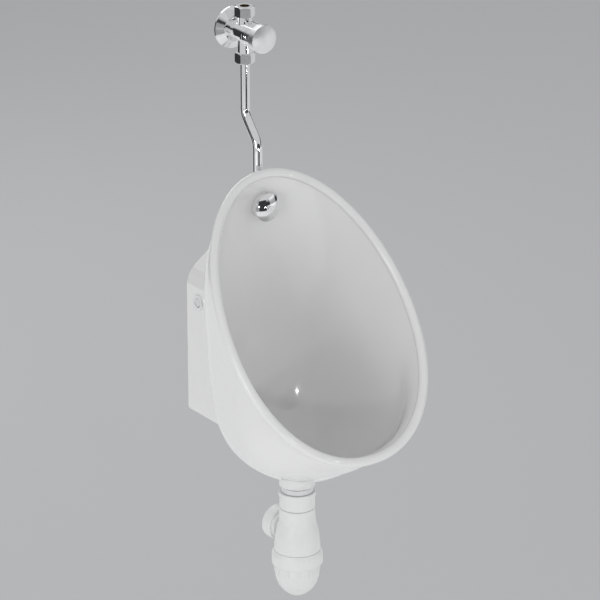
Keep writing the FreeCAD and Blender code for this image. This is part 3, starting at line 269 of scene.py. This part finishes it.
def make_materials():
    """The finishes by the slot names of the record, and satin for what SATIN_NODES names."""
    return {
        "ceramic": glazed_ceramic(),
        "chrome": plated("chrome_plate", CHROME, CHROME_SHADE, 0.035, 0.085),
        "satin": plated("satin_plate", CHROME, CHROME_SHADE, 0.34, 0.40),
        "brass": turned_metal("turned_brass", BRASS, BRASS_SHADE, 0.22, 0.38),
        "steel": turned_metal("brushed_steel", STEEL, STEEL_SHADE, 0.28, 0.46),
        "trap_plastic": moulded("white_polypropylene", PLASTIC, PLASTIC_SHADE, 0.26, 0.36,
                                grain=700, grain_strength=0.10),
        "waste_plastic": moulded("waste_polypropylene", WASTE_PLASTIC, WASTE_PLASTIC_SHADE, 0.30, 0.42,
                                 grain=700, grain_strength=0.12),
        "rubber": moulded("black_rubber", RUBBER, RUBBER_SHADE, 0.55, 0.75,
                          grain=900, grain_strength=0.25),
    }


def dress(materials):
    """Gives every solid the finish that its record names, but satin to SATIN_NODES."""
    slots = {part["node"]: part["material_slot"] for part in frame["record"]["subparts"]}
    for name, node in NODES.items():
        finish = "satin" if name in SATIN_NODES else slots[name]
        node.data.materials.clear()
        node.data.materials.append(materials[finish])


# ------------------------------------------------------------------ screw thread
def thread_mesh(name, radius, depth, pitch, low, high):
    """A helical ridge about local Z from low to high, run out to nothing at both ends."""
    count = int((high - low) / pitch * THREAD_STEPS)
    fade = THREAD_STEPS * THREAD_RUN_OUT
    foot = pitch * THREAD_ROOT
    crest = foot * THREAD_CREST
    inner = radius - depth * THREAD_SINK
    mesh = bpy.data.meshes.new(name)
    shape = bmesh.new()
    rows = []
    for step in range(count + 1):
        angle = 2 * math.pi * step / THREAD_STEPS
        middle = low + pitch * step / THREAD_STEPS
        outer = radius + depth * min(1, step / fade, (count - step) / fade)
        corners = ((inner, -foot), (outer, -crest), (outer, crest), (inner, foot))
        rows.append([shape.verts.new((reach * math.cos(angle), reach * math.sin(angle), middle + up))
                     for reach, up in corners])
    for first, second in zip(rows, rows[1:]):
        for corner in range(4):
            following = (corner + 1) % 4
            shape.faces.new((first[corner], second[corner], second[following], first[following]))
    shape.faces.new(rows[0])
    shape.faces.new(tuple(reversed(rows[-1])))
    bmesh.ops.recalc_face_normals(shape, faces=shape.faces)
    shape.to_mesh(mesh)
    shape.free()
    return mesh


def widest(node, centre, low, high):
    """The largest distance of a node's vertices from an upright axis between two heights."""
    return max(math.hypot(vertex.co.x - centre.x, vertex.co.y - centre.y)
               for vertex in NODES[node].data.vertices
               if low <= vertex.co.z <= high)


def tail_thread(materials):
    """Thread of the waste's tail, from the back nut down to the trap's nut."""
    nut_low, nut_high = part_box("trap_inlet_nut")
    centre = (nut_low + nut_high) / 2
    low = nut_high.z - TAIL_THREAD_HIDDEN
    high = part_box("waste_backnut")[0].z - TAIL_THREAD_GAP
    radius = widest("waste_body", centre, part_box("waste_body")[0].z, high)
    mesh = thread_mesh("waste_tail_thread", radius, TAIL_THREAD_DEPTH, TAIL_THREAD_PITCH, low, high)
    thread = bpy.data.objects.new("waste_tail_thread", mesh)
    thread.location = (centre.x, centre.y, 0)
    bpy.context.scene.collection.objects.link(thread)
    mesh.materials.append(materials["waste_plastic"])
    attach(thread, FIXED)


# ------------------------------------------------------------------ stage
def plain(name, colour):
    """A dull paint of one colour for the floor and the cards."""
    material = bpy.data.materials.new(name)
    material.use_nodes = True
    principled = material.node_tree.nodes["Principled BSDF"]
    principled.inputs["Base Color"].default_value = colour + (1,)
    principled.inputs["Roughness"].default_value = STAGE_ROUGHNESS
    principled.inputs["Specular IOR Level"].default_value = 0.0
    return material


def floor():
    """A plain pale floor under the bowl, which the camera sees a little darker than the object does."""
    bpy.ops.mesh.primitive_plane_add(size=FLOOR_SIZE, location=(0, 0, FLOOR_HEIGHT))
    plane = bpy.context.object
    plane.name = "floor"
    paint = plain("floor_paint", FLOOR)
    tree = paint.node_tree
    by_camera = tree.nodes.new("ShaderNodeLightPath").outputs["Is Camera Ray"]
    colour = mixed(tree, by_camera, FLOOR_BOUNCE, FLOOR)
    tree.links.new(colour, tree.nodes["Principled BSDF"].inputs["Base Color"])
    plane.data.materials.append(paint)


def card(name, colour, turn, distance, width, low, high):
    """An upright card that faces the object and that only mirroring surfaces see, so that curves read."""
    direction = -math.pi / 2 - AZIMUTH + math.radians(turn)
    place = Vector((math.cos(direction) * distance, math.sin(direction) * distance, (low + high) / 2))
    bpy.ops.mesh.primitive_plane_add(size=1, location=place)
    plane = bpy.context.object
    plane.name = name
    plane.scale = (width, high - low, 1)
    plane.rotation_euler = (Vector((0, 0, place.z)) - place).to_track_quat("Z", "Y").to_euler()
    plane.data.materials.append(plain(name, colour))
    plane.visible_camera = False
    plane.visible_diffuse = False
    plane.visible_shadow = False


def surround():
    """Even, soft light from all round, with a dark horizon that only metal and glaze see."""
    world = bpy.data.worlds.new("studio")
    world.use_nodes = True
    bpy.context.scene.world = world
    tree = world.node_tree
    background = tree.nodes["Background"]
    background.inputs["Strength"].default_value = SURROUND_STRENGTH
    split = tree.nodes.new("ShaderNodeSeparateXYZ")
    tree.links.new(tree.nodes.new("ShaderNodeTexCoord").outputs["Generated"], split.inputs["Vector"])
    rise = tree.nodes.new("ShaderNodeMapRange")
    rise.interpolation_type = "SMOOTHSTEP"
    rise.inputs["From Min"].default_value = HORIZON_LOW
    rise.inputs["From Max"].default_value = HORIZON_HIGH
    tree.links.new(split.outputs["Z"], rise.inputs["Value"])
    horizon = mixed(tree, rise.outputs["Result"], HORIZON_DARK, SURROUND)
    by_mirror = tree.nodes.new("ShaderNodeLightPath").outputs["Is Glossy Ray"]
    tree.links.new(mixed(tree, by_mirror, SURROUND, horizon), background.inputs["Color"])


def lamp(name, place, side, power):
    """A square light aimed at the bowl."""
    data = bpy.data.lights.new(name, "AREA")
    data.size = side
    data.energy = power
    light = bpy.data.objects.new(name, data)
    light.location = place
    light.rotation_euler = (BOWL_CENTRE - Vector(place)).to_track_quat("-Z", "Y").to_euler()
    bpy.context.scene.collection.objects.link(light)


def lights():
    for settings in LAMPS:
        lamp(*settings)
    for settings in CARDS:
        card(*settings)


def camera():
    right = Vector((math.cos(AZIMUTH), -math.sin(AZIMUTH), 0))
    up = Vector((math.sin(AZIMUTH) * math.sin(ELEVATION), math.cos(AZIMUTH) * math.sin(ELEVATION),
                 math.cos(ELEVATION)))
    back = right.cross(up)
    data = bpy.data.cameras.new("camera")
    data.lens = LENS_MM
    data.sensor_width = SENSOR_MM
    data.clip_end = CAMERA_REACH
    holder = bpy.data.objects.new("camera", data)
    place = CAMERA_CENTRE + back * CAMERA_DISTANCE + right * CAMERA_RIGHT + up * CAMERA_UP
    holder.location = place
    holder.rotation_euler = (-back).to_track_quat("-Z", "Y").to_euler()
    bpy.context.scene.collection.objects.link(holder)
    bpy.context.scene.camera = holder


def build():
    bpy.context.scene.view_settings.view_transform = "Standard"
    materials = make_materials()
    dress(materials)
    tail_thread(materials)
    floor()
    surround()
    lights()
    camera()


build()
